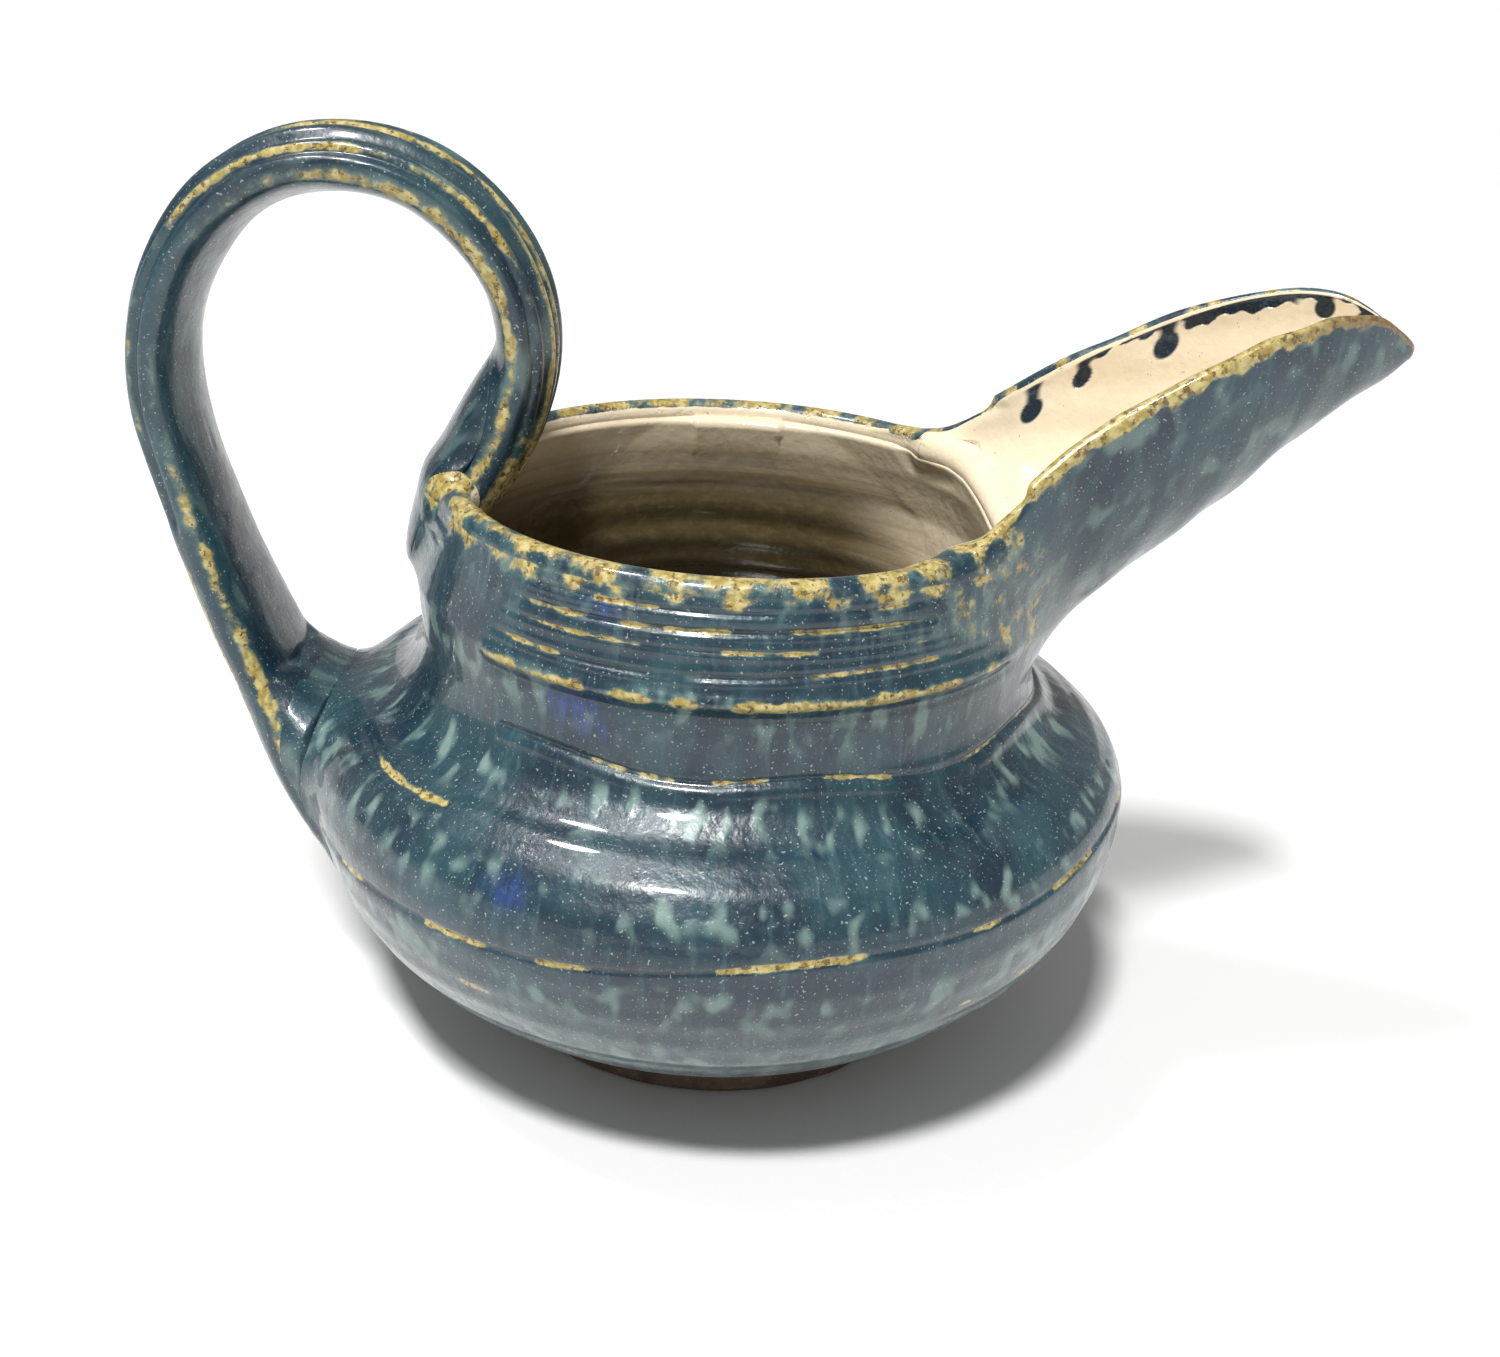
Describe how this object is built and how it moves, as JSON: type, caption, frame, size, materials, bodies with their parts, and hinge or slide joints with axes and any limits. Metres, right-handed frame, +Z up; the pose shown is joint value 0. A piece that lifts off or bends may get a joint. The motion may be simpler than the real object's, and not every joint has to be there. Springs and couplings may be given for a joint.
{
  "type": "ceramic pitcher",
  "caption": "Squat hand-thrown glazed pitcher with a ridged collar, a long open trough spout and a tall ribbed loop handle.",
  "frame": {"origin": "on the ground under the middle of the pitcher's length and width; the axis that the pot was thrown on stands 2.5 mm from it towards the handle", "axes": "+Z up along the pot's axis, +X towards the spout's tip, -X towards the handle"},
  "size_m": [0.1759, 0.12, 0.1279],
  "materials": {
    "blue_glaze": "semi-gloss slate-blue glaze with pale streaks, breaking to yellow ochre on edges",
    "liner_glaze": "glossy warm cream glaze",
    "bare_clay": "matt unglazed brown stoneware"
  },
  "bodies": {
    "root": {"thrown_body": "blue_glaze", "foot_ring": "bare_clay", "spout": "blue_glaze", "spout_seam_coil": "liner_glaze", "handle": "blue_glaze", "handle_upper_root": "blue_glaze", "handle_lower_root": "blue_glaze", "liner_glaze": "liner_glaze"}
  },
  "joints": []
}
